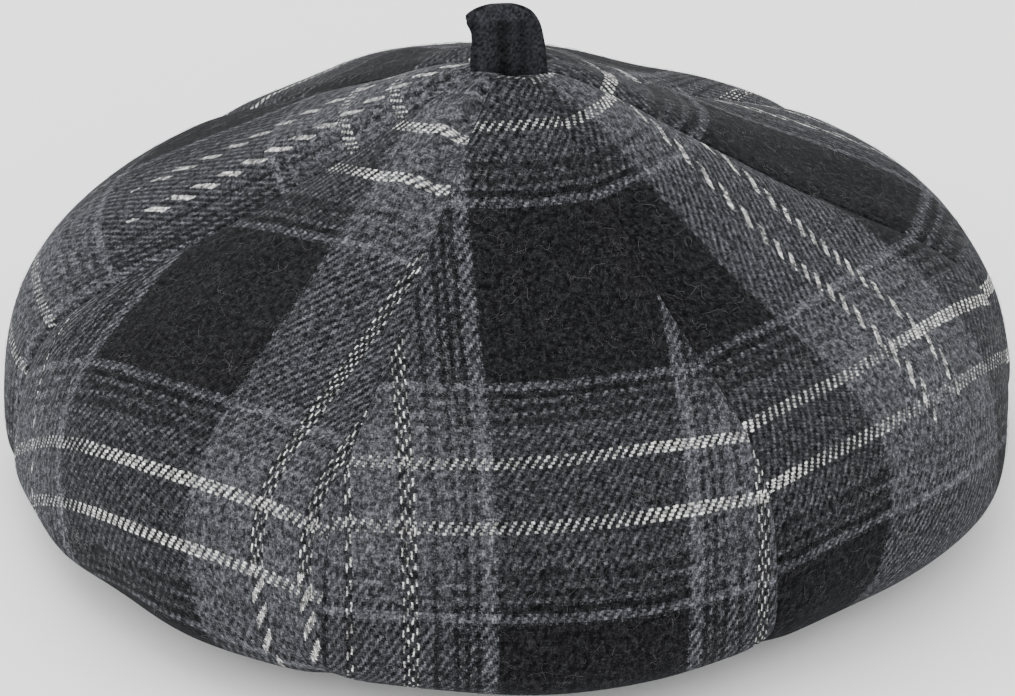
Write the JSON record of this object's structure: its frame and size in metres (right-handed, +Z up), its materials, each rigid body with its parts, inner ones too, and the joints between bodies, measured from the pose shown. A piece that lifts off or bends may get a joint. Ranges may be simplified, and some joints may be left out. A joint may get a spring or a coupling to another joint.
{
  "type": "panelled plaid wool beret",
  "caption": "Wide soft beret of the tam o' shanter kind, sewn from tapered plaid wool panels, with a short cloth stalk on top and an open head hole below.",
  "frame": {"origin": "on the floor below the middle of the beret's outline, with its underside lying on the floor", "axes": "+Z up through the crown, -Y towards the front, +X to the wearer's left"},
  "size_m": [0.2802, 0.2696, 0.1373],
  "materials": {
    "plaid_wool": "brushed wool twill in a black, charcoal, blue-grey and off-white plaid",
    "stalk_wool": "dark charcoal wool twill",
    "band_wool": "plain black woven cloth"
  },
  "bodies": {
    "root": {"panel_front": "plaid_wool", "panel_front_right": "plaid_wool", "panel_right": "plaid_wool", "panel_back_right": "plaid_wool", "panel_back_left": "plaid_wool", "panel_left": "plaid_wool", "panel_front_left": "plaid_wool", "head_band": "band_wool", "stalk": "stalk_wool"}
  },
  "joints": []
}
